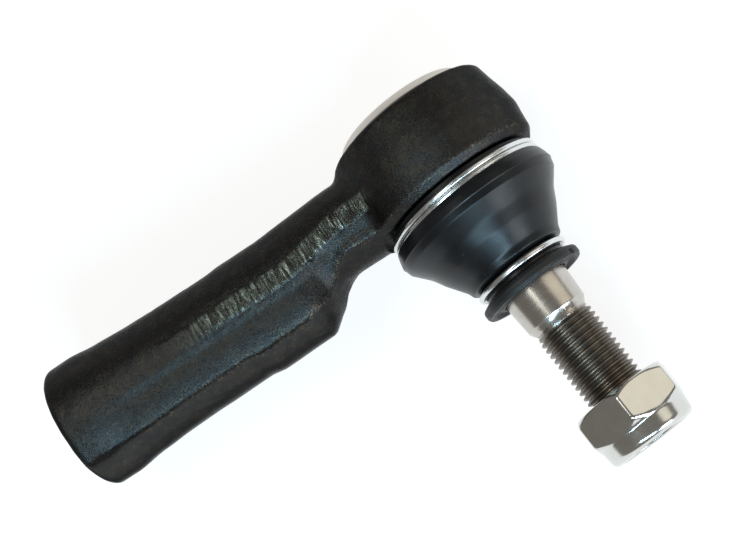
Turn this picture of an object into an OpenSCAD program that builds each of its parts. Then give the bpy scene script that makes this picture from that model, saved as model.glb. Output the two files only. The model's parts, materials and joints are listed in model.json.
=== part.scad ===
// Outer tie rod end: a forged body with a threaded shank, a ball stud in a plastic seat,
// a rubber dust boot with wire clips, and a self-locking nut on the stud.
// Frame: the origin is the centre of the shank's mouth, +X runs towards the ball,
// the stud points along -Y and +Z is square to both axes. All sizes are in millimetres.

/* [Layout] */
// Distance from the shank's mouth to the stud's axis, along X
reach = 87.6; // [84:0.2:92]
// Tilt of the shank's axis away from square to the stud
shank_tilt = 5.7; // [5:0.1:6]
// Height of the shank's axis below the ball's centre, along the stud
axis_offset = 4.8; // [4:0.1:5]

/* [Shank] */
// Diameter of the collar around the shank's mouth
collar_d = 26; // [25.6:0.1:26.4]
// Length of the straight part of the collar
collar_len = 7; // [6:0.5:9]
// Length over which the collar runs down to the wrench flats
collar_fade = 6; // [4:0.5:8]
// Distance across the two wrench flats
flats_w = 23.6; // [23:0.1:23.8]
// Length of the wrench flats
flats_len = 26; // [22:1:28]
// Thickness of the shank behind the flats
shank_t = 24.2; // [24:0.1:24.6]
// Diameter of the round bar that the shank is trimmed from
bar_d = 24.8; // [24.6:0.1:25.4]
// Distance from the mouth to the start of the knee
knee_start = 53.3; // [52:0.1:54]
// Length of the knee, along the shank
knee_len = 7.7; // [7:0.1:8]
// Thickness of the neck between knee and housing
neck_t = 16.3; // [16:0.1:17]
// Diameter of the threaded bore, at the crests of its thread
bore_d = 12.4; // [12:0.1:12.8]
// Depth of the threaded bore
bore_depth = 48; // [40:1:50]

/* [Housing] */
// Largest diameter of the housing, at the forging's parting plane
housing_d = 37.8; // [37:0.2:39]
// Diameter of the housing's rim around the cover
rim_d = 34.4; // [34:0.2:35]
// Height of the rim above the ball's centre
rim_h = 10.4; // [10.2:0.1:10.8]
// Diameter of the bore that holds the bearing shells
seat_bore_d = 27.8; // [27.4:0.2:28.2]
// Thickness of the end cover
cover_t = 1.8; // [1.6:0.1:2]
// Height of the cover's crown above the rim
crown_h = 3.4; // [3:0.1:3.8]

/* [Ball stud] */
// Diameter of the ball
ball_d = 23; // [22.6:0.1:23.2]
// Diameter of the stud's neck
neck_d = 11.6; // [11:0.1:11.8]
// Diameter of the taper at its thick end
taper_d = 14; // [13.6:0.1:14.2]
// Length of the taper
taper_len = 10.4; // [9:0.2:11]
// Diameter that the taper loses for each millimetre of length
taper_ratio = 0.125; // [0.1:0.005:0.14]
// Nominal thread diameter of the stud
thread_d = 12; // [12:0.1:12.1]
// Distance from the ball's centre to the stud's end
stud_len = 64.4; // [62:0.2:65]

/* [Boot] */
// Largest diameter of the boot, at its shoulder
shoulder_d = 35.2; // [34.6:0.2:35.6]
// Wall thickness of the boot
wall = 1.6; // [1.4:0.1:1.8]
// Diameter of the wire of the large clip
clip_wire_d = 1.15; // [1:0.05:1.2]
// Diameter of the wire of the small clip
lip_wire_d = 1.4; // [1.2:0.05:1.5]
// Diameter of the seal ring at the boot's small end
seal_d = 21.5; // [21:0.1:22]

/* [Nut] */
// Width across the nut's flats
nut_af = 19; // [18.8:0.1:19]
// Height of the nut
nut_h = 11.2; // [10.8:0.1:11.6]
// Height of the hexagonal part of the nut
hex_h = 7.4; // [7:0.1:7.8]
// Distance from the ball's centre to the nut's inner face
nut_at = 55; // [54:0.2:56]

/* [Hidden] */
$fn = 96;

cut = 1;                                   // how far a cutting solid runs past a face
run = 0.05;                                // radial clearance of a running fit
gap = 0.3;                                 // clearance between soft and hard pieces

ball_y = axis_offset - reach * tan(shank_tilt);
ball_r = ball_d / 2;
ball_flat_h = 9;                           // height of the flat on the ball's pole
seat_edge = 58;                            // polar angle where the lower shell ends
seat_r = seat_bore_d / 2;

// Heights along the stud, from the ball's centre towards the nut
skirt_h = 5.1;                             // lower edge of the housing's outer wall
groove_h = 6.5;                            // start of the boot's groove
nose_h = 11.5;                             // end of the housing
nose_cone_h = 7.6;                         // start of the housing's flared opening
cover_seat_h = -7.6;                       // shoulder that the cover rests on
crimp_h = -9.4;                            // underside of the crimped lip
bearing_top = -8.4;                        // end of the upper bearing shell
shoulder_h = 12.4;                         // widest place of the boot
boot_end_h = 27.4;                         // end of the boot's small collar
seal_h0 = 27.7;                            // seal ring, near face
seal_h1 = 30.3;                            // seal ring, far face
clip_h = 7.75;                             // first turn of the large clip
lip_clip_h = 26.2;                         // small clip
taper_h = 26.4;                            // start of the taper
taper_end_h = taper_h + taper_len;
thread_h = taper_end_h + 1.9;              // start of the thread

groove_r = 14;                             // bottom of the boot's groove
nose_r = 14.9;                             // flange that keeps the boot in its groove
relief_r = 17.7;                           // space turned out of the neck for the clip
cover_edge_r = 15.9;                       // edge of the cover, under the crimp
crown_r = 15.2;                            // opening in the crimped lip
open_r0 = 10.6;                            // housing's opening, inside
open_r1 = 12.8;                            // housing's opening, at the nose
clip_r = 16.25;                            // centre line of the large clip's wire
lip_clip_r = 9.25;                         // centre line of the small clip's wire
thread_r = thread_d / 2 - run;
taper_end_r = taper_d / 2 - taper_len * taper_ratio / 2;

// Points of an arc about (cx, cy), from angle a0 to angle a1
function arc(cx, cy, r, a0, a1, n) =
    [for (i = [0:n]) let (a = a0 + (a1 - a0) * i / n) [cx + r * cos(a), cy + r * sin(a)]];

// Turns local +Z into the stud's direction, with the ball's centre as its origin
module on_stud() {
    translate([reach, ball_y, 0]) rotate([90, 0, 0]) children();
}

// Turns local +Z into the shank's direction, with the mouth as its origin
module on_shank() {
    rotate([0, 90, -shank_tilt]) children();
}

// A ring of round wire
module wire_ring(centre_r, wire_d, h) {
    translate([0, 0, h]) rotate_extrude() translate([centre_r, 0]) circle(d = wire_d, $fn = 24);
}

// Side outline of shank, knee and neck: x along the shank, y towards the cover
module shank_outline() {
    back = shank_t / 2;
    flat = flats_w / 2;
    mouth = collar_d / 2;
    flats_from = collar_len + collar_fade;
    flats_to = flats_from + flats_len;
    neck_y = back - neck_t;
    blend_r = 2.6;
    blend_x = blend_r * tan(22.5);         // from a corner of the knee to its arc's centre
    polygon(concat(
        [[0, mouth], [0, -mouth], [collar_len, -mouth], [flats_from, -flat], [flats_to, -flat]],
        [[flats_to + 2, -back]],
        arc(knee_start - blend_x, -back + blend_r, blend_r, -90, -45, 6),
        arc(knee_start + knee_len + blend_x, neck_y - blend_r, blend_r, 135, 90, 6),
        [[reach, neck_y], [reach, back], [flats_to + 2, back]],
        [[flats_to, flat], [flats_from, flat], [collar_len, mouth]]));
}

// Round bar with a collar and a rounded mouth edge, trimmed to the side outline
module shank() {
    edge_r = 1.6;
    half_w = collar_d / 2;
    on_shank() intersection() {
        rotate_extrude() polygon(concat(
            [[0, 0]],
            arc(half_w - edge_r, edge_r, edge_r, -90, 0, 8),
            [[half_w, collar_len], [bar_d / 2, collar_len + collar_fade]],
            [[bar_d / 2, reach - 6], [0, reach - 6]]));
        rotate([0, -90, 0]) linear_extrude(height = 2 * half_w + cut, center = true)
            shank_outline();
    }
}

// Turned outline of the housing, drafted both ways from the parting plane
module housing_blank() {
    on_stud() rotate_extrude() polygon([
        [0, -rim_h], [rim_d / 2 - 0.8, -rim_h], [rim_d / 2, -rim_h + 0.8],
        [housing_d / 2 - 0.35, -3.6], [housing_d / 2, 0], [housing_d / 2 - 0.4, 2.2],
        [housing_d / 2 - 0.75, skirt_h], [17, groove_h], [groove_r, groove_h],
        [groove_r, nose_h - 1.6], [nose_r, nose_h - 1], [nose_r, nose_h], [0, nose_h]]);
}

// Everything cut out of the housing along the stud
module housing_bore() {
    on_stud() rotate_extrude() polygon([
        [0, -rim_h - cut], [crown_r, -rim_h - cut], [crown_r, crimp_h],
        [cover_edge_r, crimp_h], [cover_edge_r, cover_seat_h], [seat_r, cover_seat_h],
        [seat_r, 6.2], [open_r0, nose_cone_h], [open_r1, nose_h + cut / 2],
        [open_r1, nose_h + cut], [0, nose_h + cut]]);
}

// Turned space around the nose for the boot's collar and its clip
module boot_relief() {
    on_stud() translate([0, 0, groove_h]) cylinder(r = relief_r, h = nose_h);
}

module forged_body() {
    tip_h = bore_d / 2 / tan(59);          // height of the drill's point
    color("#1b1d1f") difference() {
        union() {
            difference() {
                shank();
                boot_relief();
            }
            housing_blank();
        }
        housing_bore();
        on_shank() translate([0, 0, -cut]) cylinder(d = bore_d, h = bore_depth + cut);
        on_shank() translate([0, 0, bore_depth]) cylinder(r1 = bore_d / 2, r2 = 0.1, h = tip_h);
    }
}

// Pressed cover, held under the crimped lip and crowned through it
module end_cover() {
    top = -rim_h - crown_h;
    side_r = crown_r - 0.1;
    color("#b9b2a6") on_stud() rotate_extrude() polygon(concat(
        [[0, top + cover_t], [9.5, top + cover_t + 0.5], [12.6, top + cover_t + 1.8]],
        [[seat_r, bearing_top - 0.4], [seat_r, cover_seat_h]],
        [[cover_edge_r - 0.05, cover_seat_h], [cover_edge_r - 0.05, crimp_h], [side_r, crimp_h]],
        arc(side_r - 3.2, -rim_h + 0.3, 3.2, 0, -75, 8),
        [[7, top + 0.3], [0, top]]));
}

// Conical disc spring that preloads the bearing shells
module disc_spring() {
    sheet = 0.8;
    foot = bearing_top - 0.03;             // outer edge, on the upper shell
    rise = 1.75;
    color("#6f7276") on_stud() rotate_extrude() polygon([
        [6.5, foot - rise - sheet], [11.8, foot - sheet], [11.8, foot], [6.5, foot - rise]]);
}

// Bearing shell between the spring and the ball's equator
module upper_bearing() {
    color("#e9e4d6") on_stud() difference() {
        translate([0, 0, bearing_top]) cylinder(r = seat_r - 0.02, h = -bearing_top - 0.1);
        sphere(r = ball_r + run);
    }
}

// Bearing shell between the ball's equator and the housing's opening
module lower_bearing() {
    edge_h = ball_r * cos(seat_edge);
    edge_r = ball_r * sin(seat_edge);
    color("#e9e4d6") on_stud() difference() {
        rotate_extrude() polygon([
            [edge_r - 0.4, 0.1], [seat_r - 0.02, 0.1], [seat_r - 0.02, 6.1],
            [edge_r + 1.2, nose_cone_h - 0.5], [edge_r - 0.4, edge_h]]);
        sphere(r = ball_r + run);
    }
}

// Two turns of round spring wire
module boot_clip_large() {
    color("#d4d6d6") on_stud() for (turn = [0:1])
        wire_ring(clip_r, clip_wire_d, clip_h + turn * (clip_wire_d - 0.02));
}

module boot_clip_small() {
    color("#d4d6d6") on_stud() wire_ring(lip_clip_r, lip_wire_d, lip_clip_h);
}

// Rubber boot, from the housing's groove to the collar under the small clip
module dust_boot() {
    out = shoulder_d / 2;
    groove_in = groove_r + gap / 2;
    outer = [
        [clip_r - clip_wire_d / 2 - 0.15, groove_h + 0.2],
        [clip_r - clip_wire_d / 2 - 0.15, clip_h + 1.9], [out - 0.6, clip_h + 2.3],
        [out - 0.25, 11], [out, shoulder_h], [out - 0.3, 13.9], [out - 1.5, 15.8],
        [out - 4.3, 19.6], [out - 6.8, 23.3], [out - 7.4, 24.5],
        [lip_clip_r - lip_wire_d / 2 - 0.05, 25.2], [lip_clip_r - lip_wire_d / 2 - 0.05, boot_end_h]];
    inner = [
        [taper_d / 2 + gap, boot_end_h], [taper_d / 2 + gap, 25.6],
        [out - 6.8 - wall, 22.6], [out - 4.3 - wall, 18.8], [out - 1.5 - wall, 15.2],
        [out - wall, 12.6], [groove_in + 0.9, nose_h + gap], [groove_in + 0.9, nose_h - 1.2],
        [groove_in, nose_h - 1.9], [groove_in, groove_h + 0.2]];
    color("#17191b") on_stud() rotate_extrude() polygon(concat(outer, inner));
}

// Stiff ring that seals the boot's small end against the steering arm
module seal_ring() {
    seal_r = seal_d / 2;
    in_r = taper_d / 2 + run;
    color("#202224") on_stud() rotate_extrude() polygon([
        [in_r, seal_h0], [seal_r - 0.9, seal_h0], [seal_r, seal_h0 + 0.6],
        [seal_r, seal_h1 - 0.5], [seal_r - 0.3, seal_h1], [in_r + 1.6, seal_h1],
        [in_r + 1.2, seal_h1 - 0.9], [in_r, seal_h1 - 0.9]]);
}

// Ball, neck, taper and threaded end in one piece
module ball_stud() {
    neck_r = neck_d / 2;
    sphere_join = sqrt(ball_r * ball_r - neck_r * neck_r);
    color("#a39a8c") on_stud() {
        difference() {
            sphere(r = ball_r);
            translate([0, 0, -ball_flat_h - ball_r]) cylinder(r = ball_r, h = ball_r);
        }
        rotate_extrude() polygon([
            [0, 0], [neck_r, 0], [neck_r, sphere_join], [neck_r, taper_h - 4],
            [taper_d / 2, taper_h - 1.5], [taper_d / 2, taper_h], [taper_end_r, taper_end_h],
            [thread_r, thread_h], [thread_r, stud_len - 1], [thread_r - 1, stud_len],
            [0, stud_len]]);
    }
}

// Nylon ring that grips the thread; it sits in the nut's crown
module lock_insert() {
    color("#dfe3e2") on_stud() difference() {
        translate([0, 0, nut_at + hex_h + 0.7]) cylinder(r = 7.6 - run, h = 2.2);
        translate([0, 0, nut_at + hex_h + 0.7 - cut]) cylinder(r = thread_r + run, h = 2.2 + 2 * cut);
    }
}

// Hexagonal nut with chamfered corners and a round crown that holds the insert
module lock_nut() {
    flat_r = nut_af / 2;
    corner_r = flat_r / cos(30);
    end_h = nut_at + nut_h;
    color("#c9c8c2") on_stud() difference() {
        union() {
            intersection() {
                translate([0, 0, nut_at]) rotate(30) cylinder(r = corner_r, h = hex_h + 1.5, $fn = 6);
                rotate_extrude() polygon([
                    [0, nut_at], [flat_r - 0.5, nut_at], [corner_r, nut_at + 1.1],
                    [corner_r, nut_at + hex_h - 1.3], [flat_r - 0.2, nut_at + hex_h + 0.2],
                    [0, nut_at + hex_h + 0.2]]);
            }
            translate([0, 0, nut_at + hex_h]) rotate_extrude() polygon(concat(
                [[0, 0], [flat_r - 0.25, 0]],
                arc(flat_r - 1.9, nut_h - hex_h - 1.4, 1.4, 0, 90, 6),
                [[0, nut_h - hex_h]]));
        }
        translate([0, 0, nut_at - cut]) cylinder(r = thread_r + run, h = hex_h + 3);
        translate([0, 0, nut_at + hex_h + 0.6]) cylinder(r = 7.6, h = 2.4);
        translate([0, 0, end_h - 2]) cylinder(r = thread_r + 0.6, h = 2 + cut);
    }
}

forged_body();
end_cover();
disc_spring();
upper_bearing();
lower_bearing();
boot_clip_large();
dust_boot();
boot_clip_small();
seal_ring();
ball_stud();
lock_insert();
lock_nut();
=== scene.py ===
import json
import math

import bpy
import numpy as np
from mathutils import Matrix, Vector


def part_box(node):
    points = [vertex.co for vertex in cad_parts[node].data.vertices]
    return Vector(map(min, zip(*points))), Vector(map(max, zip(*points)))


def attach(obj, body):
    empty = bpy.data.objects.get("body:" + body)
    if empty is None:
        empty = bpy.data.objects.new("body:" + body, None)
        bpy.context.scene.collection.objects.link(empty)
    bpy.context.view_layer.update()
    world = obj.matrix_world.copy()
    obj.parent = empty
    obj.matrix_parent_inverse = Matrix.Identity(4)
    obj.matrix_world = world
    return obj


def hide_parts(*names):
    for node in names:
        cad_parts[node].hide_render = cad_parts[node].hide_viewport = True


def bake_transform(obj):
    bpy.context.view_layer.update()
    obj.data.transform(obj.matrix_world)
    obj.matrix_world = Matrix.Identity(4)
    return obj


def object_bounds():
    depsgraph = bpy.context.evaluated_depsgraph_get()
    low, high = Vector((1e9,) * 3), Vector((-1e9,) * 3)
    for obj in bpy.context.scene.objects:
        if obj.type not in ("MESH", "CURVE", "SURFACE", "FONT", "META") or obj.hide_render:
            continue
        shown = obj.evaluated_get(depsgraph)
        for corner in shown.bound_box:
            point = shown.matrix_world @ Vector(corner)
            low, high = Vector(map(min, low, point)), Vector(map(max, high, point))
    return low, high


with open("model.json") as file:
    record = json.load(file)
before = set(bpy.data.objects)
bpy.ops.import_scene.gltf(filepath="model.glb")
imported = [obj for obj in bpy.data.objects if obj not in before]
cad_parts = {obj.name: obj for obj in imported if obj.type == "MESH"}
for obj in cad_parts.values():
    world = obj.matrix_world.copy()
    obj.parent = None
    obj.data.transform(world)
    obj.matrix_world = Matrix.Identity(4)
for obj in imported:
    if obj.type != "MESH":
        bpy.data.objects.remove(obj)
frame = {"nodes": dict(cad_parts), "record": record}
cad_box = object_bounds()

# ---------------------------------------------------------------- the frame, in millimetres
MM = 0.001
RECORD = frame["record"]
JOINT = {j["name"]: j for j in RECORD["behaviour"]["joints"]}
MOUNT = {m["name"]: m for m in RECORD["mounts"]}
BALL = Vector(JOINT["stud_swing"]["pos_m"]) / MM
SHANK_DIR = -Vector(MOUNT["tie_rod_thread"]["axis"]).normalized()
COVER_DIR = Vector((0, 0, 1)).cross(SHANK_DIR)

# stud space: x as in the world, y up, z from the ball towards the nut
STUD = Matrix.Translation(BALL) @ Matrix(((1, 0, 0, 0), (0, 0, -1, 0), (0, 1, 0, 0), (0, 0, 0, 1)))
# shank space: z from the mouth towards the ball, y towards the cover
SHANK = Matrix((
    (0, COVER_DIR.x, SHANK_DIR.x, 0),
    (0, COVER_DIR.y, SHANK_DIR.y, 0),
    (-1, 0, 0, 0),
    (0, 0, 0, 1)))


def heights(node):
    """Lowest and highest place of a CAD node along the stud, from the ball's centre."""
    low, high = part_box(node)
    return BALL.y - high[1] / MM, BALL.y - low[1] / MM


def radius(node):
    """Largest radius of a CAD node about the stud's axis."""
    low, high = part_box(node)
    return (high[0] - low[0]) / MM / 2


# ---------------------------------------------------------------- driving sizes, in millimetres
RIM_H = -10.4          # housing: rim around the cover
CRIMP_H = -9.4         # underside of the crimped lip
CROWN_R = 15.2         # opening of the crimped lip
SEAT_H = -7.6          # seat of the cover's flange
SEAT_R = 15.9
CAVITY_R = 13.9        # room for the bearing shells
SKIRT_H = 5.1          # lower edge of the outer wall
GROOVE_H = 6.5         # start of the boot's groove
GROOVE_R = 14.0
NOSE_H = 11.5          # end of the housing
NOSE_R = 14.9
RELIEF_R = 17.7        # space turned out of the neck for the clip
SHOULDER_H = 12.4      # widest place of the boot
SPLIT_H = 17.0         # the boot's two halves meet here
BOOT_WALL = 1.1
BOOT_END_H = 27.6      # lower edge of the boot's small collar
COLLAR_R = 13.15       # round collar at the shank's mouth
BAR_W = 12.4           # half width of the shank, across the parting plane
BORE_R = 6.2           # crests of the shank's thread
BORE_ROOT_R = 7.0
BORE_PITCH = 1.5
BORE_DEPTH = 48
THREAD_DEPTH = 36
STUD_R = 5.95          # crests of the stud's thread
STUD_ROOT_R = 5.2
STUD_PITCH = 1.25
BALL_R = 11.5
NUT_AF = 19.0
HEX_H = 7.4            # height of the nut's hexagon
KNEE_FROM = 52         # the knee begins here, from the mouth
NECK_FROM = 66         # and has become the neck here
KNEE_TAPER = 0.75      # how much the walls lean in around the knee
KNEE_REACH = 6.0       # and how far up from the belly
SHANK_END = 84         # well inside the housing
LAND_H = 0.25          # height of the trimmed flash land
TEAR_PITCH = 0.9       # between the tears across the land
BELLY_R = 17.5         # curve of the shank's boot side, across the parting plane
VOXEL = (0.24, 0.36, 0.36)
NUT_VOXEL = 0.17


# ---------------------------------------------------------------- mesh helpers
def make_object(name, points, faces, space, sharp_deg=35):
    """An object from points in millimetres in the given space, smooth up to an angle."""
    mesh = bpy.data.meshes.new(name)
    matrix = np.array(space)
    world = (np.asarray(points, float) @ matrix[:3, :3].T + matrix[:3, 3]) * MM
    mesh.from_pydata(world.tolist(), [], [list(face) for face in faces])
    mesh.validate()
    mesh.update()
    mesh.polygons.foreach_set("use_smooth", np.ones(len(mesh.polygons), bool))
    mesh.set_sharp_from_angle(angle=math.radians(sharp_deg))
    obj = bpy.data.objects.new(name, mesh)
    bpy.context.collection.objects.link(obj)
    return obj


def rounded(corners, steps=6):
    """Closed outline of (x, y, fillet radius) corners, each fillet drawn as an arc."""
    outline = []
    count = len(corners)
    for i, (x, y, fillet) in enumerate(corners):
        here = np.array((x, y), float)
        before = np.array(corners[i - 1][:2], float) - here
        after = np.array(corners[(i + 1) % count][:2], float) - here
        if fillet <= 0:
            outline.append(tuple(here))
            continue
        u, v = before / np.linalg.norm(before), after / np.linalg.norm(after)
        half = math.acos(max(-1.0, min(1.0, float(u @ v)))) / 2
        reach = min(fillet / math.tan(half), 0.48 * np.linalg.norm(before), 0.48 * np.linalg.norm(after))
        fillet = reach * math.tan(half)
        centre = here + (u + v) / np.linalg.norm(u + v) * math.hypot(reach, fillet)
        start, end = here + u * reach - centre, here + v * reach - centre
        a0 = math.atan2(start[1], start[0])
        turn = (math.atan2(end[1], end[0]) - a0 + math.pi) % (2 * math.pi) - math.pi
        for k in range(steps + 1):
            a = a0 + turn * k / steps
            outline.append((centre[0] + fillet * math.cos(a), centre[1] + fillet * math.sin(a)))
    return outline


def lathe_mesh(outline, segments=144):
    """Points and faces of a closed (radius, height) outline turned about z."""
    points, rings = [], []
    for r, h in outline:
        if r < 1e-6:
            rings.append([len(points)] * segments)
            points.append((0, 0, h))
            continue
        rings.append(range(len(points), len(points) + segments))
        points += [(r * math.cos(2 * math.pi * k / segments), r * math.sin(2 * math.pi * k / segments), h)
                   for k in range(segments)]
    faces = []
    for lower, upper in zip(rings, rings[1:] + rings[:1]):
        for k in range(segments):
            quad = [lower[k], lower[(k + 1) % segments], upper[(k + 1) % segments], upper[k]]
            quad = list(dict.fromkeys(quad))
            if len(quad) > 2:
                faces.append(quad)
    return points, faces


def lathe(name, corners, space, segments=144):
    """A turned solid; the outline runs anticlockwise in (radius, height)."""
    points, faces = lathe_mesh(rounded(corners), segments)
    return make_object(name, points, faces, space)


def threaded_bar(name, crest_r, root_r, pitch, start, end, space):
    """A bar with a helical thread along z, longer than start..end, with closed ends."""
    segments = 96
    depth = crest_r - root_r
    profile = [(0.0, root_r), (0.14, root_r), (0.44, crest_r - 0.04 * depth), (0.5, crest_r),
               (0.6, crest_r), (0.66, crest_r - 0.04 * depth)]
    first = math.floor(start / pitch) - 2
    turns = math.ceil(end / pitch) + 2 - first
    rows = [(first + k + u, r) for k in range(turns) for u, r in profile]
    points = [(r * math.cos(2 * math.pi * i / segments), r * math.sin(2 * math.pi * i / segments),
               (t + i / segments) * pitch) for t, r in rows for i in range(segments)]
    per_turn, count = len(profile), len(rows)

    def at(row, i):
        return row * segments + i

    faces = [(at(row, i), at(row, i + 1), at(row + 1, i + 1), at(row + 1, i))
             for row in range(count - 1) for i in range(segments - 1)]
    last = segments - 1
    faces += [(at(row, last), at(row + per_turn, 0), at(row + 1 + per_turn, 0), at(row + 1, last))
              for row in range(count - 1 - per_turn)]
    low = [at(0, i) for i in range(segments)] + [at(row, 0) for row in range(per_turn, 0, -1)]
    high = [at(count - 1, i) for i in range(segments)]
    high += [at(count - 1 - k, last) for k in range(1, per_turn + 1)]
    for loop, turned in ((low, True), (high, False)):
        middle = len(points)
        points.append((0, 0, sum(points[i][2] for i in loop) / len(loop)))
        for i, j in zip(loop, loop[1:] + loop[:1]):
            faces.append((j, i, middle) if turned else (i, j, middle))
    return make_object(name, points, faces, space)


def surface_net(field, origin, step):
    """Quads of the field's zero surface: one vertex in each cell that the surface crosses."""
    inside = field < 0
    corner = [(i, j, k) for i in (0, 1) for j in (0, 1) for k in (0, 1)]
    shape = tuple(n - 1 for n in field.shape)

    def shifted(values, c):
        return values[c[0]:c[0] + shape[0], c[1]:c[1] + shape[1], c[2]:c[2] + shape[2]]

    total = sum(shifted(inside, c).astype(np.int8) for c in corner)
    cells = np.argwhere((total > 0) & (total < 8))
    index = np.full(shape, -1, np.int64)
    index[tuple(cells.T)] = np.arange(len(cells))
    values = [field[tuple((cells + c).T)] for c in corner]
    place = np.zeros((len(cells), 3))
    hits = np.zeros(len(cells))
    for a, ca in enumerate(corner):
        for b in range(a + 1, 8):
            cb = corner[b]
            if sum(x != y for x, y in zip(ca, cb)) != 1:
                continue
            crossed = (values[a] < 0) != (values[b] < 0)
            t = values[a][crossed] / (values[a][crossed] - values[b][crossed])
            place[crossed] += np.array(ca) + t[:, None] * (np.array(cb) - np.array(ca))
            hits[crossed] += 1
    points = (cells + place / hits[:, None]) * step + origin
    faces = []
    for axis in range(3):
        u, v = (axis + 1) % 3, (axis + 2) % 3
        low = np.take(inside, range(field.shape[axis] - 1), axis)
        high = np.take(inside, range(1, field.shape[axis]), axis)
        edges = np.argwhere(low != high)
        keep = (edges[:, u] > 0) & (edges[:, v] > 0) & (edges[:, u] < shape[u]) & (edges[:, v] < shape[v])
        edges = edges[keep]
        flip = low[tuple(edges.T)]
        quad = []
        for du, dv in ((-1, -1), (0, -1), (0, 0), (-1, 0)):
            cell = edges.copy()
            cell[:, u] += du
            cell[:, v] += dv
            quad.append(index[tuple(cell.T)])
        quad = np.stack(quad, 1)
        quad[~flip] = quad[~flip][:, ::-1]
        faces.append(quad)
    return points, np.concatenate(faces)


def apply_boolean(target, cutter, operation="DIFFERENCE"):
    """Cuts or joins one mesh with another and removes the second."""
    modifier = target.modifiers.new("cut", "BOOLEAN")
    modifier.operation = operation
    modifier.object = cutter
    modifier.solver = "MANIFOLD"
    done = bpy.data.meshes.new_from_object(target.evaluated_get(bpy.context.evaluated_depsgraph_get()))
    target.modifiers.clear()
    target.data = done
    bpy.data.objects.remove(cutter)


def round_union(a, b, r):
    """Union of two distance fields with a fillet of radius r."""
    return np.maximum(np.minimum(a, b), r) - np.hypot(np.maximum(r - a, 0), np.maximum(r - b, 0))


def round_cut(a, b, r):
    """Intersection of two distance fields with a rounded edge of radius r."""
    return np.minimum(np.maximum(a, b), -r) + np.hypot(np.maximum(a + r, 0), np.maximum(b + r, 0))


def ramp(x, x0, x1):
    """Smooth step from 0 at x0 to 1 at x1."""
    t = np.clip((x - x0) / (x1 - x0), 0, 1)
    return t * t * (3 - 2 * t)


def waves(x, y, z, length, count, seed):
    """Smooth random relief of about the given wavelength, from -1 to 1."""
    rng = np.random.default_rng(seed)
    total = 0
    for _ in range(count):
        k = rng.normal(size=3)
        k *= 2 * math.pi / length / np.linalg.norm(k) * rng.uniform(0.7, 1.4)
        total = total + np.sin(k[0] * x + k[1] * y + k[2] * z + rng.uniform(0, 6.28))
    return total / count * 1.6


# ---------------------------------------------------------------- the forging
# The housing's wall: height, radius
HOUSING_SIDE = ((RIM_H, 17.2), (-3.6, 18.5), (0, 18.85), (2.2, 18.5), (SKIRT_H, 18.15),
                (GROOVE_H + 0.1, 17.0), (13, 17.0))
# Cover side and boot side of the bar: distance from the mouth, distance from the shank's axis
COVER_SIDE = ((-3, 12.2), (12, 12.2), (24, 11.75), (38, 11.5), (41, 11.75), (50, 11.65),
              (56, 12.1), (66, 12.6), (90, 12.6))
BOOT_SIDE = ((-3, 12.1), (14, 12.05), (24, 11.8), (38.2, 11.65), (41, 12.1), (50, 11.9),
             (53.0, 11.8), (54.6, 10.4), (58.6, 5.6), (60.4, 4.6), (63.2, 4.2), (70, 4.3), (90, 5.5))


def smooth_line(x, knots, spread=0.7):
    """Value at x of a line through the knots, with its corners eased."""
    xs, ys = zip(*knots)
    return sum(np.interp(x + d * spread, xs, ys) for d in (-1, -0.5, 0, 0.5, 1)) / 5


def housing_field(rho, h):
    """Drafted barrel around the ball, widest at the parting plane."""
    slant = 0.97
    blank_end = 12.5
    side = (rho - np.interp(h, *zip(*HOUSING_SIDE))) * slant
    return round_cut(side, np.maximum(RIM_H - h, h - blank_end), 1.0)


def parting_at(s):
    """Height of the forging's parting line, which climbs at the knee."""
    return 1.1 + 2.9 * ramp(s, KNEE_FROM, NECK_FROM + 2)


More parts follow.
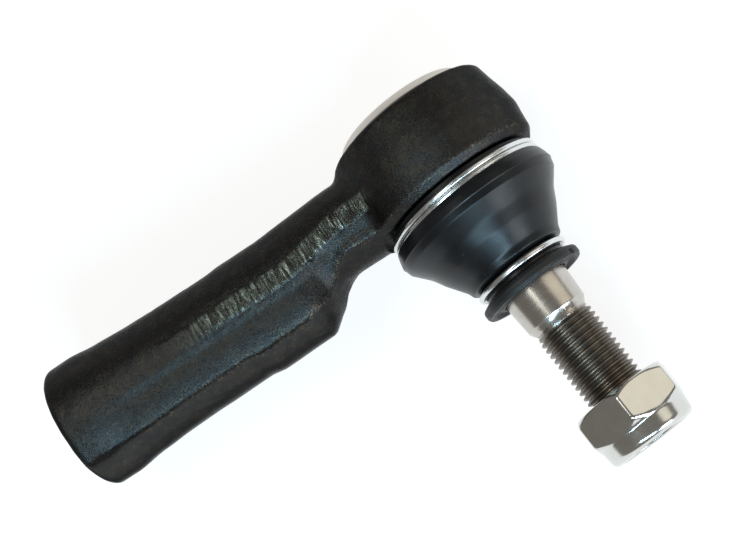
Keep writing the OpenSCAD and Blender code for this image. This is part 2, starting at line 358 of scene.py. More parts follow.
def bar_fields(s, q, z):
    """Two fields of the bar, knee and neck: the cover side with the walls, and the belly."""
    cover = smooth_line(s, COVER_SIDE)
    boot = smooth_line(s, BOOT_SIDE, 0.5)
    half_w = BAR_W - 1.2 * ramp(s, KNEE_FROM, NECK_FROM)
    dq = q - parting_at(s)
    # cover side: half an ellipse
    half_h = cover - parting_at(s)
    size = np.maximum(np.hypot(z / half_w, np.maximum(dq, 0) / half_h), 1e-3)
    dome = (size - 1) * size / np.hypot(z / half_w ** 2, np.maximum(dq, 0) / half_h ** 2).clip(1e-3)
    # boot side: the wall steps in once under the parting line and then curves in to the belly,
    # most of all around the knee
    steep = (smooth_line(s + 0.2, BOOT_SIDE, 0.5) - smooth_line(s - 0.2, BOOT_SIDE, 0.5)) / 0.4
    steep = np.hypot(1, np.clip(steep, -1.2, 1.2))
    knee = KNEE_TAPER * ramp(s, KNEE_FROM + 0.5, 59) * (1 - ramp(s, 60, NECK_FROM))
    low = np.maximum(-dq, 0)
    near = np.maximum(KNEE_REACH - np.maximum(q + boot, 0) / steep, 0)
    inward = 0.0018 * low ** 3 + 0.55 * ramp(low, 2.0, 4.2) + knee * (np.hypot(near, 1) - 1)
    slope = 0.0054 * low ** 2 + 0.4 * np.exp(-((low - 3.1) / 0.8) ** 2) + knee * near / np.hypot(near, 1)
    wall = (np.abs(z) - half_w + inward) / np.hypot(1, slope)
    # flash land, trimmed along the parting line and torn across, which fades out at both ends
    land_h = LAND_H * ramp(s, 24, 40) * (1 - ramp(s, 71, 76))
    jitter = np.sin(s * 0.83) + 0.8 * np.sin(s * 2.17 + 1) + 0.5 * np.sin(q * 2.1 + s * 0.7)
    tooth = np.sin(2 * math.pi * s / TEAR_PITCH + 1.3 * jitter) * (0.6 + 0.4 * np.sin(s * 1.1 + q * 1.7))
    reach = half_w + land_h - 0.02 + 0.75 * land_h * tooth
    edge = 1.7 + 0.2 * np.sin(s * 1.3) + 0.15 * np.sin(s * 3.1)
    land = np.maximum(np.abs(dq) - edge, np.abs(z) - reach)
    body = np.where(dq > 0, dome, wall)
    body = np.where(land_h > 0.005, round_union(body, land, 0.22), body)
    # belly: an arc across the bar, nearly flat on the riser
    zc = np.minimum(np.abs(z), BELLY_R * 0.98)
    shallow = 1 - 0.9 * ramp(s, 53.5, 58.5) * (1 - ramp(s, 59, 63)) - 0.25 * ramp(s, 59, 63)
    belly = (-boot + shallow * (BELLY_R - np.sqrt(BELLY_R ** 2 - zc ** 2))) - q
    return body, belly / steep


def shank_field(s, q, z):
    """Bar, knee and neck, with the round collar around the mouth."""
    body = round_cut(*bar_fields(s, q, z), 0.35)
    collar_end = 24
    collar_r = COLLAR_R - 0.95 * ramp(s, 5, 13) - 0.9 * ramp(s, 12, 20)
    collar = np.maximum(np.hypot(q, z) - collar_r, s - collar_end)
    return round_cut(round_union(body, collar, 0.8), -s, 1.5)


def skin_marks(points):
    """Two marks on the skin: wear along its ridges together with a painted highlight along the edge of the
    housing's skirt, and where the flash land lies.
    """
    s, q, z = points.T
    body, belly = bar_fields(s, q, z)
    x = s * SHANK_DIR.x + q * COVER_DIR.x
    y = s * SHANK_DIR.y + q * COVER_DIR.y
    rho, h = np.hypot(x - BALL.x, z), BALL.y - y
    on_bar = ramp(s, 11, 20) * (1 - ramp(s, 70, 74))
    ridge = np.exp(-((body - belly) / 0.5) ** 2) * on_bar
    # painted highlight: a thin bright line along the lower edge of the housing's outer wall
    skirt = np.exp(-((h - SKIRT_H) / 0.3) ** 2) * (rho > 17) * ramp(s, 66, 72)
    flat = 1 - ramp(np.abs(q - parting_at(s)), 1.4, 2.1)
    land = flat * ramp(np.abs(z), 10.4, 11.2) * ramp(s, 26, 44) * (1 - ramp(s, 71, 76))
    return np.maximum(ridge, skirt), land


def forging():
    """The forged body's skin from a distance field, then its machined surfaces."""
    # corners of a grid with room around the whole forging, so that the skin closes
    low = np.array((-2.4, -17.0, -20.2))
    high = np.array((109.6, 19.0, 20.2))
    step = np.array(VOXEL)
    axes = [np.arange(a, b, d) for a, b, d in zip(low, high, step)]
    # the grid is slanted with the shank, so that s depends on the first index only
    s = axes[0][:, None, None]
    q = axes[1][None, :, None]
    z = axes[2][None, None, :]
    x = s * SHANK_DIR.x + q * COVER_DIR.x
    y = s * SHANK_DIR.y + q * COVER_DIR.y
    shank = np.maximum(shank_field(s, q, z), s - SHANK_END)
    fillet = 1.5
    field = round_union(housing_field(np.hypot(x - BALL.x, z), BALL.y - y), shank, fillet)
    # long, middle and short relief; the last two are fainter on the boot side
    rough = 0.25 + 0.75 * ramp(q + 0 * z, -10.5, -8)
    field = field + 0.06 * waves(x, y, z, 9.0, 14, 3)
    field = field + (0.035 * waves(x, y, z, 3.2, 18, 5) + 0.02 * waves(x, y, z, 1.5, 18, 9)) * rough
    points, faces = surface_net(field, low, step)
    space = Matrix.Identity(4)
    space.col[0][:3] = SHANK_DIR
    space.col[1][:3] = COVER_DIR
    body = make_object("forged_body_skin", points, faces, space, 60)
    # the first layer holds the ridge wear and the painted highlight along the skirt's edge
    for mark, values in zip(("wear_and_skirt_glint", "land"), skin_marks(points)):
        layer = body.data.attributes.new(mark, "FLOAT", "POINT")
        layer.data.foreach_set("value", values.astype(np.float32))
    apply_boolean(body, housing_cutter())
    apply_boolean(body, groove_cutter())
    apply_boolean(body, bore_cutter())
    return body


def housing_cutter():
    """Room for the cover and the shells, and the opening for the stud."""
    throat_r, mouth_r = 10.6, 12.8
    return lathe("housing_cutter", [
        (0, RIM_H - 4, 0), (CROWN_R + 0.9, RIM_H - 4, 0), (CROWN_R + 0.9, RIM_H - 0.5, 0),
        (CROWN_R + 0.05, RIM_H + 0.25, 0.3), (CROWN_R, CRIMP_H, 0), (SEAT_R, CRIMP_H, 0),
        (SEAT_R, SEAT_H, 0), (CAVITY_R, SEAT_H, 0), (CAVITY_R, 6.2, 0), (throat_r, 7.6, 0),
        (mouth_r, NOSE_H, 0), (mouth_r, NOSE_H + 4, 0), (0, NOSE_H + 4, 0)], STUD)


def groove_cutter():
    """The boot's groove, and the space around it for the boot's rim and the large clip."""
    return lathe("groove_cutter", [
        (0, NOSE_H, 0), (NOSE_R, NOSE_H, 0.3), (NOSE_R, NOSE_H - 1, 0.2), (GROOVE_R, NOSE_H - 1.6, 0.2),
        (GROOVE_R, GROOVE_H, 0.3), (RELIEF_R, GROOVE_H, 0.4), (RELIEF_R, NOSE_H + 6, 0),
        (0, NOSE_H + 6, 0)], STUD)


def bore_cutter():
    """Threaded bore with a chamfered mouth and a drill point."""
    tool = threaded_bar("bore_thread", BORE_ROOT_R, BORE_R, BORE_PITCH, 0, THREAD_DEPTH, SHANK)
    trim = lathe("bore_trim", [
        (0, -1, 0), (BORE_ROOT_R + 1, -1, 0), (BORE_ROOT_R + 1, THREAD_DEPTH - 1, 0),
        (BORE_R - 0.1, THREAD_DEPTH, 0), (0, THREAD_DEPTH, 0)], SHANK, 96)
    apply_boolean(tool, trim, "INTERSECT")
    drill = lathe("bore_drill", [
        (0, -1.5, 0), (BORE_ROOT_R + 2, -1.5, 0), (BORE_ROOT_R + 1.7, 0, 0), (BORE_R + 0.02, 1.5, 0),
        (BORE_R + 0.02, BORE_DEPTH, 0), (0, BORE_DEPTH + 3.6, 0)], SHANK, 96)
    apply_boolean(tool, drill, "UNION")
    return tool


# ---------------------------------------------------------------- turned and moulded pieces
def end_cover():
    """A pressed dish, its flange held under the crimped lip."""
    top = heights("end_cover")[0]
    flange_r = SEAT_R - 0.05
    flange_h = SEAT_H - 0.02
    return lathe("pressed_end_cover", [
        (0, top, 0), (8, top + 0.35, 6), (13.2, top + 1.1, 2.6), (15.1, RIM_H - 0.4, 1.0),
        (15.15, CRIMP_H + 0.05, 0), (flange_r, CRIMP_H + 0.05, 0.2), (flange_r, flange_h, 0.2),
        (CAVITY_R, flange_h, 0.2), (13.6, -9.0, 0.5), (12.6, top + 2.7, 1.5), (8, top + 2.1, 4),
        (0, top + 1.8, 0)], STUD, 160)


def wire_coil(name, centre_r, wire_r, first_h, turns, rise):
    """A coil of round wire about the stud's axis, its ends cut square and slightly rounded."""
    per_turn, around = 120, 16
    first_a = math.radians(270)
    count = int(turns * per_turn) + 1
    points, faces = [], []
    insets = (0.35, 0.7, 0.9, 1.0)
    rows = [(0, inset) for inset in reversed(insets)]
    rows += [(i, 0.0) for i in range(count)]
    rows += [(count - 1, inset) for inset in insets]
    for place, inset in rows:
        a = first_a + 2 * math.pi * place / per_turn
        shrink = math.sqrt(1 - inset ** 2)
        push = wire_r * 0.5 * inset * (-1 if place == 0 else 1)
        for k in range(around):
            b = 2 * math.pi * k / around
            r = centre_r + wire_r * shrink * math.cos(b)
            h = first_h + rise * place / per_turn + wire_r * shrink * math.sin(b)
            points.append((r * math.cos(a) - push * math.sin(a), r * math.sin(a) + push * math.cos(a), h))
    total = len(rows)
    for i in range(total - 1):
        for k in range(around):
            n = (k + 1) % around
            faces.append((i * around + k, (i + 1) * around + k, (i + 1) * around + n, i * around + n))
    faces.append(list(range(around)))
    faces.append([(total - 1) * around + k for k in reversed(range(around))])
    return make_object(name, points, faces, STUD)


def large_clip():
    """Nearly two turns of wire, side by side."""
    low, high = heights("boot_clip_large")
    wire_r = (high - low) / 4
    return wire_coil("boot_clip_large_wire", radius("boot_clip_large") - wire_r, wire_r, low + wire_r,
                     1.94, 2 * wire_r)


def small_clip():
    """Nearly one turn of wire."""
    low, high = heights("boot_clip_small")
    wire_r = (high - low) / 2
    return wire_coil("boot_clip_small_wire", radius("boot_clip_small") - wire_r, wire_r, low + wire_r,
                     0.985, 0)


def boot_walls():
    """Outer and inner outline of the boot, from the housing's groove to the small collar."""
    out = radius("dust_boot")
    clip_in = radius("boot_clip_large") - 1.12
    lip_in = radius("boot_clip_small") - 1.36
    bore_r = 7.3
    outer = [
        (clip_in + 0.1, GROOVE_H + 0.25, 0.2), (clip_in, GROOVE_H + 1.0, 0.3), (clip_in, 9.55, 0.35),
        (out - 0.7, 9.8, 0.4), (out - 0.3, 11.0, 0.8), (out - 0.01, SHOULDER_H, 0.12),
        (out - 0.15, SHOULDER_H + 0.2, 0.1), (out - 0.5, 13.9, 0.8), (out - 3.0, SPLIT_H, 8),
        (out - 4.45, 19.7, 6), (out - 6.9, 23.4, 3), (out - 7.35, 24.75, 0.6), (lip_in, 25.2, 0.3),
        (lip_in, BOOT_END_H, 0.1)]
    inner = [
        (bore_r, BOOT_END_H, 0.1), (bore_r, 25.6, 0.3), (out - 6.9 - BOOT_WALL, 22.6, 1.5),
        (out - 4.45 - BOOT_WALL, 18.8, 4), (out - 3.4 - BOOT_WALL, SPLIT_H, 8),
        (out - 1.5 - BOOT_WALL, 15.0, 2), (out - 0.1 - BOOT_WALL, 12.6, 1),
        (GROOVE_R + 1.2, NOSE_H + 0.25, 0.4), (GROOVE_R + 1.0, NOSE_H - 1.3, 0.3),
        (GROOVE_R + 0.05, NOSE_H - 1.9, 0.3), (GROOVE_R + 0.05, GROOVE_H + 0.25, 0.3)]
    return outer, inner


def boot_half(name, upper):
    """One half of the boot as a closed ring; the halves meet at the split plane."""
    spacing = 0.45
    outer, inner = boot_walls()
    line = rounded(outer + inner, 8)
    turn = max(range(len(line)), key=lambda i: line[i][1] - 0.001 * line[i][0])
    out_line, in_line = line[:turn], line[turn:]

    def cut(points):
        """The part of a wall on this half's side, in short steps."""
        kept, dense = [], []
        for (r0, h0), (r1, h1) in zip(points, points[1:]):
            n = max(1, int(math.hypot(r1 - r0, h1 - h0) / spacing))
            dense += [(r0 + (r1 - r0) * k / n, h0 + (h1 - h0) * k / n) for k in range(n)]
        dense.append(points[-1])
        for (r0, h0), (r1, h1) in zip(dense, dense[1:] + dense[-1:]):
            if (h0 <= SPLIT_H) == upper:
                kept.append((r0, h0))
            if (h0 - SPLIT_H) * (h1 - SPLIT_H) < 0:
                t = (SPLIT_H - h0) / (h1 - h0)
                kept.append((r0 + (r1 - r0) * t, SPLIT_H))
        return kept

    points, faces = lathe_mesh(cut(out_line) + cut(in_line), 160)
    return make_object(name, points, faces, STUD, 50)


def seal_ring():
    """A lipped ring with a recessed underside and two small notches in its edge."""
    low, high = heights("seal_ring")
    out = radius("seal_ring")
    bore_r = 7.06
    ring = lathe("seal_ring_lip", [
        (bore_r, low, 0.1), (8.4, low - 0.15, 0.2), (9.3, low + 0.1, 0.4),
        (out - 0.15, low + 0.75, 0.25), (out, low + 1.1, 0.2), (out, high - 0.55, 0.25),
        (out - 0.3, high, 0.15), (out - 1.1, high, 0.2), (out - 1.7, high - 0.75, 0.5),
        (8.3, high - 0.75, 0.3), (7.6, high - 0.1, 0.15), (bore_r, high - 0.1, 0.05)], STUD, 160)
    for turn in (205, 25):
        at_edge = Matrix.Translation((out + 0.15, 0, high - 0.3))
        notch = Matrix.Rotation(math.radians(turn), 4, "Z") @ at_edge
        block_points = [(x, y, z) for x in (-0.5, 0.6) for y in (-0.7, 0.7) for z in (-0.75, 1)]
        block_faces = [(0, 1, 3, 2), (4, 6, 7, 5), (0, 4, 5, 1), (2, 3, 7, 6), (0, 2, 6, 4), (1, 5, 7, 3)]
        apply_boolean(ring, make_object("notch", block_points, block_faces, STUD @ notch))
    return ring


def ball_stud():
    """Ball, waisted neck, ground taper and a helical thread."""
    end = heights("ball_stud")[1]
    neck_r = 5.8
    join = math.sqrt(BALL_R ** 2 - neck_r ** 2)
    flat = 9.0
    taper_r, taper_end_r = 7.0, 6.38
    taper_from, taper_to = 26.4, 36.8
    a0 = math.asin(-flat / BALL_R)
    a1 = math.asin(join / BALL_R)
    arc = [(BALL_R * math.cos(a0 + (a1 - a0) * k / 40), BALL_R * math.sin(a0 + (a1 - a0) * k / 40), 0)
           for k in range(41)]
    shaft = lathe("ball_stud_shaft", [(0, -flat, 0)] + arc + [
        (neck_r, join + 1.2, 0), (neck_r, 21, 2), (taper_r, 25, 1.2), (taper_r, taper_from, 0.3),
        (taper_end_r, taper_to, 0.5), (STUD_ROOT_R, 38.6, 0.2), (STUD_ROOT_R, end - 0.9, 0),
        (0, end - 0.9, 0)], STUD)
    thread = threaded_bar("stud_thread", STUD_R, STUD_ROOT_R, STUD_PITCH, 37, end, STUD)
    trim = lathe("stud_trim", [
        (0, 37.3, 0), (STUD_ROOT_R + 0.15, 37.9, 0), (STUD_R + 0.02, 39.7, 0.5),
        (STUD_R + 0.02, end - 0.9, 0.2), (STUD_R - 0.9, end, 0.1), (0, end, 0)], STUD, 96)
    apply_boolean(thread, trim, "INTERSECT")
    apply_boolean(shaft, thread, "UNION")
    return shaft


def nut_field(x, y, h, low, high):
    """Hexagon with chamfered corners and a round crown, all edges soft."""
    flat = NUT_AF / 2
    hexagon = np.full(np.broadcast(x, y, h).shape, -99.0)
    for k in range(6):
        a = math.radians(60 * k)
        hexagon = round_cut(hexagon, x * math.cos(a) + y * math.sin(a) - flat, 0.4)
    rho = np.hypot(x, y)
    top = low + HEX_H
    corner = 0.8
    turned = 1 / math.hypot(1, corner)
    seat = ((rho - flat + 0.1) * corner - (h - low)) * turned
    shoulder = ((rho - flat + 0.15) * corner - (top - h)) * turned
    prism = round_cut(hexagon, round_cut(seat, shoulder, 0.3), 0.5)
    prism = round_cut(prism, np.maximum(low - h, h - top), 0.3)
    crown_r = flat - 0.15 - 0.1 * np.maximum(h - top, 0)
    crown = round_cut(rho - crown_r, np.maximum(h - high, low + 2 - h), 1.3)
    return round_union(prism, crown, 0.5)


def lock_nut():
    """The nut's skin from its distance field, then the bore and the insert's pocket."""
    low, high = heights("lock_nut")
    step = np.array((NUT_VOXEL, NUT_VOXEL, NUT_VOXEL))
    origin = np.array((-11.63, -11.58, low - 0.53))
    axes = [np.arange(a, b, d) for a, b, d in zip(origin, (11.7, 11.7, high + 0.5), step)]
    field = nut_field(axes[0][:, None, None], axes[1][None, :, None], axes[2][None, None, :], low, high)
    points, faces = surface_net(field, origin, step)
    nut = make_object("lock_nut_plated", points, faces, STUD, 40)
    bore_r = STUD_R + 0.06
    pocket_r, mouth_r = 7.66, 7.0
    pocket_from, pocket_to = low + 8.05, low + 10.5
    apply_boolean(nut, lathe("nut_bore", [
        (0, low - 1, 0), (7.2, low - 1, 0), (bore_r, low + 0.75, 0.1), (bore_r, pocket_from, 0),
        (pocket_r, pocket_from, 0), (pocket_r, pocket_to, 0), (mouth_r, pocket_to, 0),
        (mouth_r, high - 0.4, 0.1), (7.6, high + 0.4, 0), (7.6, high + 1, 0), (0, high + 1, 0)],
        STUD, 120))
    return nut


# ---------------------------------------------------------------- materials
TURNED = (0.02, 1.0, 0.02)  # stretches a noise into rings around the stud's axis


class Finish:
    """A Principled material with short calls for its texture nodes."""

    def __init__(self, name, **sockets):
        self.mat = bpy.data.materials.new(name)
        self.mat.use_nodes = True
        self.nodes = self.mat.node_tree.nodes
        self.links = self.mat.node_tree.links
        self.shader = self.nodes["Principled BSDF"]
        for socket, value in sockets.items():
            self.shader.inputs[socket.replace("_", " ")].default_value = value
        self.place = self.nodes.new("ShaderNodeTexCoord").outputs["Object"]

    def put(self, value, socket):
        if hasattr(value, "is_output"):
            self.links.new(value, socket)
        else:
            socket.default_value = value

    def stretched(self, scale):
        node = self.nodes.new("ShaderNodeMapping")
        self.links.new(self.place, node.inputs["Vector"])
        node.inputs["Scale"].default_value = scale
        return node.outputs["Vector"]

    def noise(self, per_mm, detail=3, rough=0.55, place=None):
        node = self.nodes.new("ShaderNodeTexNoise")
        self.links.new(place or self.place, node.inputs["Vector"])
        node.inputs["Scale"].default_value = per_mm / MM
        node.inputs["Detail"].default_value = detail
        node.inputs["Roughness"].default_value = rough
        return node.outputs["Fac"]

    def levels(self, value, low, high, out_low=0.0, out_high=1.0):
        node = self.nodes.new("ShaderNodeMapRange")
        node.interpolation_type = "SMOOTHSTEP"
        self.links.new(value, node.inputs["Value"])
        limits = {"From Min": low, "From Max": high, "To Min": out_low, "To Max": out_high}
        for socket, number in limits.items():
            node.inputs[socket].default_value = number
        return node.outputs["Result"]

    def math(self, operation, a, b=0.0):
        node = self.nodes.new("ShaderNodeMath")
        node.operation = operation
        self.put(a, node.inputs[0])
        self.put(b, node.inputs[1])
        return node.outputs[0]

    def mix(self, amount, a, b):
        node = self.nodes.new("ShaderNodeMix")
        node.data_type = "RGBA"
        self.put(amount, node.inputs[0])
        self.put(a, node.inputs[6])
        self.put(b, node.inputs[7])
        return node.outputs[2]

    def along(self, direction, origin=(0, 0, 0)):
        """Distance in millimetres from a point, measured along a direction."""
        shift = self.nodes.new("ShaderNodeVectorMath")
        shift.operation = "SUBTRACT"
        self.links.new(self.place, shift.inputs[0])
        shift.inputs[1].default_value = Vector(origin) * MM
        dot = self.nodes.new("ShaderNodeVectorMath")
        dot.operation = "DOT_PRODUCT"
        self.links.new(shift.outputs[0], dot.inputs[0])
        dot.inputs[1].default_value = Vector(direction) / MM
        return dot.outputs["Value"]

    def attribute(self, name):
        node = self.nodes.new("ShaderNodeAttribute")
        node.attribute_name = name
        return node.outputs["Fac"]

    def vector(self, x, y, z):
        node = self.nodes.new("ShaderNodeCombineXYZ")
        for value, socket in zip((x, y, z), node.inputs):
            self.put(value, socket)
        return node.outputs[0]

    def bump(self, height, mm, strength=1.0, below=None):
        node = self.nodes.new("ShaderNodeBump")
        node.inputs["Strength"].default_value = strength
        node.inputs["Distance"].default_value = mm * MM
        self.links.new(height, node.inputs["Height"])
        if below:
            self.links.new(below, node.inputs["Normal"])
        return node.outputs["Normal"]

    def done(self, colour=None, roughness=None, normal=None):
        for value, socket in ((colour, "Base Color"), (roughness, "Roughness"), (normal, "Normal")):
            if value is not None:
                self.links.new(value, self.shader.inputs[socket])
        return self.mat


def black_coat():
    """Black coat over a rough forged skin, smoother on the boot side, worn along its ridges."""
    f = Finish("black_coat", Metallic=1.0, Specular_Tint=(0.4, 0.4, 0.4, 1))
    along, across = f.along(SHANK_DIR), f.along(COVER_DIR)
    side = f.levels(across, -9.5, -7.5, 0.12, 1.0)
    wear_and_skirt_glint, land = f.attribute("wear_and_skirt_glint"), f.attribute("land")
    coarse = f.noise(0.55, 5, 0.6)
    grain = f.noise(2.4, 4, 0.65)
    fine = f.noise(5.0, 2, 0.6)
    tears = f.vector(f.math("MULTIPLY", along, 1.7), f.math("MULTIPLY", across, 0.22), 0.0)
    # torn marks across the flash land, used for its relief and for a painted reflection
    scratch_and_sheen = f.levels(f.noise(1.0 * MM, 4, 0.7, tears), 0.40, 0.62)
    speck = f.math("MULTIPLY", f.levels(f.noise(3.4, 2, 0.5), 0.63, 0.72), f.levels(coarse, 0.42, 0.62))
    base = f.mix(f.levels(coarse, 0.35, 0.7), (0.036, 0.037, 0.038, 1), (0.048, 0.045, 0.040, 1))
    base = f.mix(f.math("MULTIPLY", speck, 0.5), base, (0.22, 0.20, 0.16, 1))
    # gold: wear along the ridges, and a painted highlight along the skirt's edge
    gold = f.math("MULTIPLY", wear_and_skirt_glint, f.levels(f.noise(2.2, 3, 0.6), 0.52, 0.7))
    base = f.mix(f.math("MULTIPLY", gold, 0.55), base, (0.30, 0.24, 0.16, 1))
    # the torn marks on the flash land are real marks; their pale grey-green is a painted reflection
    base = f.mix(f.math("MULTIPLY", land, f.math("MULTIPLY", scratch_and_sheen, 0.9)), base, (0.34, 0.40, 0.36, 1))
    roughness = f.levels(grain, 0.3, 0.7, 0.15, 0.30)
    relief = f.math("MULTIPLY", f.math("ADD", grain, f.math("MULTIPLY", fine, 0.5)), side)
    normal = f.bump(relief, 0.13, 0.9)
    normal = f.bump(f.math("MULTIPLY", land, scratch_and_sheen), 0.17, 1.0, normal)
    return f.done(base, roughness, normal)


def boot_rubber():
    """Smooth black rubber with a few specks of dust."""
    f = Finish("boot_rubber", Specular_IOR_Level=0.3)
    blotch = f.noise(0.16, 4, 0.6)
    dust = f.levels(f.noise(1.9, 2, 0.5), 0.71, 0.77)
    black = f.mix(blotch, (0.004, 0.0045, 0.0055, 1), (0.008, 0.0085, 0.0095, 1))
    colour = f.mix(f.math("MULTIPLY", dust, 0.35), black, (0.16, 0.15, 0.13, 1))
    roughness = f.levels(blotch, 0.3, 0.7, 0.27, 0.38)
    normal = f.bump(f.noise(1.4, 4, 0.6), 0.02, 0.6)
    return f.done(colour, roughness, normal)


def seal_rubber():
    """Duller black rubber."""
    f = Finish("seal_rubber", Specular_IOR_Level=0.4)
    blotch = f.noise(0.5, 4, 0.6)
    colour = f.mix(blotch, (0.007, 0.007, 0.007, 1), (0.016, 0.015, 0.014, 1))
    return f.done(colour, f.levels(blotch, 0.3, 0.7, 0.42, 0.6), f.bump(f.noise(3.0, 3), 0.03, 0.6))


def turned_steel(name, colour_a, colour_b, rough_a, rough_b, lines=0.012):
    """Steel with fine turning lines around the axis and a faint stain."""
    f = Finish(name, Metallic=1.0)
    rings = f.noise(9.0, 3, 0.6, f.stretched(TURNED))
    stain = f.noise(0.35, 4, 0.6)
    colour = f.mix(stain, colour_a, colour_b)
    roughness = f.levels(f.math("ADD", rings, stain), 0.7, 1.3, rough_a, rough_b)
    return f.done(colour, roughness, f.bump(rings, lines, 0.5))


def stud_steel():
    """Ground taper and a darker phosphated thread."""
    f = Finish("stud_steel", Metallic=1.0)
    height = f.along((0, -1, 0), BALL)
    rings = f.noise(9.0, 3, 0.6, f.stretched(TURNED))
    stain = f.noise(0.5, 4, 0.6)
    thread = f.levels(height, 38.0, 39.2)
    ground = f.mix(stain, (0.46, 0.42, 0.38, 1), (0.57, 0.54, 0.50, 1))
    dark = f.mix(stain, (0.13, 0.11, 0.09, 1), (0.24, 0.21, 0.18, 1))
    colour = f.mix(thread, ground, dark)
    roughness = f.math("ADD", f.levels(rings, 0.3, 0.7, 0.20, 0.30), f.math("MULTIPLY", thread, 0.08))
    return f.done(colour, roughness)


def zinc_wire():
    """Bright zinc, slightly streaked."""
    f = Finish("zinc_wire", Metallic=1.0)
    streak = f.noise(1.2, 3, 0.6)
    colour = f.mix(streak, (0.62, 0.63, 0.62, 1), (0.78, 0.79, 0.78, 1))
    return f.done(colour, f.levels(streak, 0.3, 0.7, 0.16, 0.28), f.bump(f.noise(0.6, 2), 0.002, 0.3))


def nut_plate():
    """Bright plating with a cloudy tone."""
    f = Finish("nut_plate", Metallic=1.0)
    cloud = f.noise(0.35, 4, 0.62)
    grain = f.noise(3.5, 3, 0.6)
    colour = f.mix(cloud, (0.58, 0.57, 0.53, 1), (0.70, 0.69, 0.66, 1))
    roughness = f.levels(f.math("ADD", cloud, grain), 0.7, 1.3, 0.12, 0.22)
    return f.done(colour, roughness, f.bump(grain, 0.004, 0.5))


def plain_plastic(name, colour_a, colour_b, roughness):
    """Moulded plastic for the pieces inside."""
    f = Finish(name, Roughness=roughness)
    cloud = f.noise(0.4, 3, 0.6)
    return f.done(f.mix(cloud, colour_a, colour_b), None, f.bump(f.noise(2.0, 3), 0.01, 0.5))


def dress(obj, material):
    obj.data.materials.clear()
    obj.data.materials.append(material)


# ---------------------------------------------------------------- assembly
def place(piece, body, slot, nodes, material):
    """Gives a piece its material and its body, and hides the CAD nodes that it stands for; the slot is not
    used.
    """
    dress(piece, material)
    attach(piece, body)
    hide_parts(*nodes)


def build_object():
    place(forging(), "housing", "black_coat", ["forged_body"], black_coat())
    place(end_cover(), "housing", "cover_steel", ["end_cover"],
          turned_steel("cover_steel", (0.46, 0.42, 0.37, 1), (0.55, 0.51, 0.46, 1), 0.30, 0.42, 0.004))
    wire = zinc_wire()
    place(large_clip(), "housing", "zinc_wire", ["boot_clip_large"], wire)
    place(small_clip(), "boot_end", "zinc_wire", ["boot_clip_small"], wire)
    place(seal_ring(), "boot_end", "seal_rubber", ["seal_ring"], seal_rubber())
    place(ball_stud(), "stud", "stud_steel", ["ball_stud"], stud_steel())
    place(lock_nut(), "nut", "nut_plate", ["lock_nut"], nut_plate())
    rubber = boot_rubber()
    upper = boot_half("dust_boot_upper", True)
    lower = boot_half("dust_boot_lower", False)
    for half in (upper, lower):
        dress(half, rubber)
    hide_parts("dust_boot")

    def at(h):
        """The point on the stud's axis at a height from the ball's centre, in metres."""
        return tuple((BALL + Vector((0, -h, 0))) * MM)

    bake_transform(upper)
    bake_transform(lower)
    inner = {
        "upper_bearing": plain_plastic("acetal", (0.80, 0.78, 0.71, 1), (0.87, 0.85, 0.79, 1), 0.35),
        "lock_insert": plain_plastic("nylon", (0.78, 0.80, 0.79, 1), (0.86, 0.88, 0.87, 1), 0.3),
        "disc_spring": turned_steel("spring_steel", (0.34, 0.35, 0.37, 1), (0.46, 0.47, 0.49, 1), 0.3, 0.4)}
    inner["lower_bearing"] = inner["upper_bearing"]
    for node, material in inner.items():
        dress(frame["nodes"][node], material)


# ---------------------------------------------------------------- stage, light and camera
AZIMUTH, ELEVATION, ROLL = math.radians(33.9), math.radians(75.8), math.radians(-72.15)
DISTANCE = 349.0       # from the aim to the camera
AIM = Vector((63.73, -12.15, 1.12))
LENS = 89.87
SENSOR = 36
LIGHT_DISTANCE = 0.7   # from the aim to each light, in metres
FLOOR_HALF = 3.0       # half the floor's width, in metres


def view_axes():
    """Right, up and back of the rest view, in the world."""
    back = Vector((math.sin(AZIMUTH) * math.cos(ELEVATION), -math.cos(AZIMUTH) * math.cos(ELEVATION),
                   math.sin(ELEVATION)))
    right = Vector((0, 0, 1)).cross(back).normalized()
    turn = Matrix.Rotation(ROLL, 3, back)
    right = turn @ right
    return right, back.cross(right), back


def make_camera():
    right, up, back = view_axes()
    data = bpy.data.cameras.new("camera")
    data.lens = LENS
    data.sensor_width = SENSOR
    data.clip_start = 0.01
    camera = bpy.data.objects.new("camera", data)
    pose = Matrix((right, up, back)).transposed().to_4x4()
    pose.translation = (AIM + back * DISTANCE) * MM
    camera.matrix_world = pose
    bpy.context.collection.objects.link(camera)
    bpy.context.scene.camera = camera


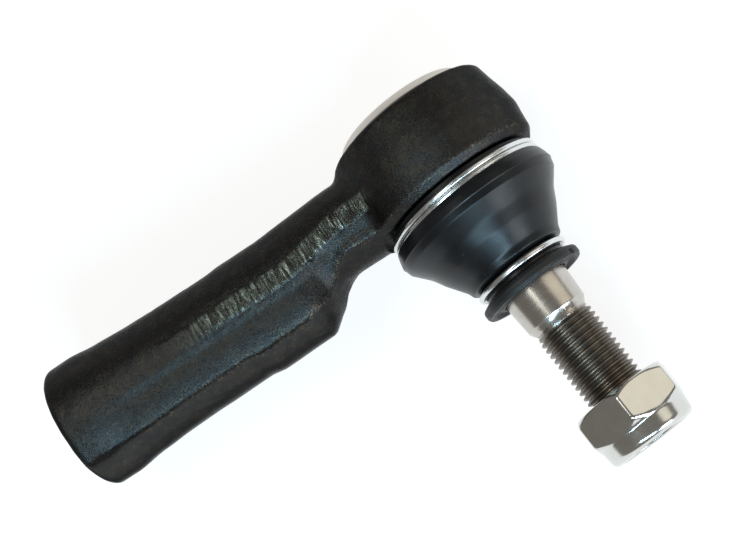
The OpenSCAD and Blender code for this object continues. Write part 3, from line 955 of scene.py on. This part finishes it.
def soft_light(name, direction, width, height, radiance, colour):
    """A rectangular light that faces the object; direction is (right, up, back) of the rest view."""
    right, up, back = view_axes()
    data = bpy.data.lights.new(name, "AREA")
    data.shape = "RECTANGLE"
    data.size, data.size_y = width, height
    data.energy = radiance * math.pi * width * height
    data.color = colour
    light = bpy.data.objects.new(name, data)
    way = (right * direction[0] + up * direction[1] + back * direction[2]).normalized()
    light.location = AIM * MM + way * LIGHT_DISTANCE
    across = right - way * right.dot(way)
    across.normalize()
    light.matrix_world = Matrix.Translation(light.location) @ Matrix(
        (across, way.cross(across), way)).transposed().to_4x4()
    bpy.context.collection.objects.link(light)


def make_lights():
    """Four soft lights (direction, width, height, radiance, colour) and a dim surround."""
    soft_light("ceiling", (0.45, 0.62, 0.63), 0.60, 0.46, 0.85, (1.0, 0.95, 0.80))
    soft_light("right_window", (0.82, -0.28, 0.50), 0.30, 0.30, 6.0, (0.80, 0.91, 1.0))
    soft_light("low_window", (0.20, -0.56, 0.80), 0.54, 0.12, 18.0, (0.50, 0.80, 1.0))
    soft_light("left_panel", (-0.52, 0.12, 0.84), 0.20, 0.35, 5.0, (0.95, 1.0, 0.95))
    world = bpy.data.worlds.new("studio")
    bpy.context.scene.world = world
    world.use_nodes = True
    background = world.node_tree.nodes["Background"]
    background.inputs["Color"].default_value = (1.0, 0.95, 0.88, 1)
    background.inputs["Strength"].default_value = 0.21


def make_floor():
    """A white paper floor that glows a little, under the part."""
    level = cad_box[0][2]
    mesh = bpy.data.meshes.new("floor")
    corners = [(-1, -1), (1, -1), (1, 1), (-1, 1)]
    mesh.from_pydata([(x * FLOOR_HALF, y * FLOOR_HALF, level) for x, y in corners], [], [(0, 1, 2, 3)])
    floor = bpy.data.objects.new("floor", mesh)
    bpy.context.collection.objects.link(floor)
    f = Finish("paper", Roughness=0.9, Specular_IOR_Level=0.1, Emission_Strength=0.8)
    f.shader.inputs["Emission Color"].default_value = (1, 1, 1, 1)
    dress(floor, f.done(f.mix(f.noise(0.01, 2), (0.34, 0.34, 0.34, 1), (0.36, 0.36, 0.36, 1))))


bpy.context.scene.view_settings.view_transform = "Standard"
make_camera()
build_object()
make_floor()
make_lights()
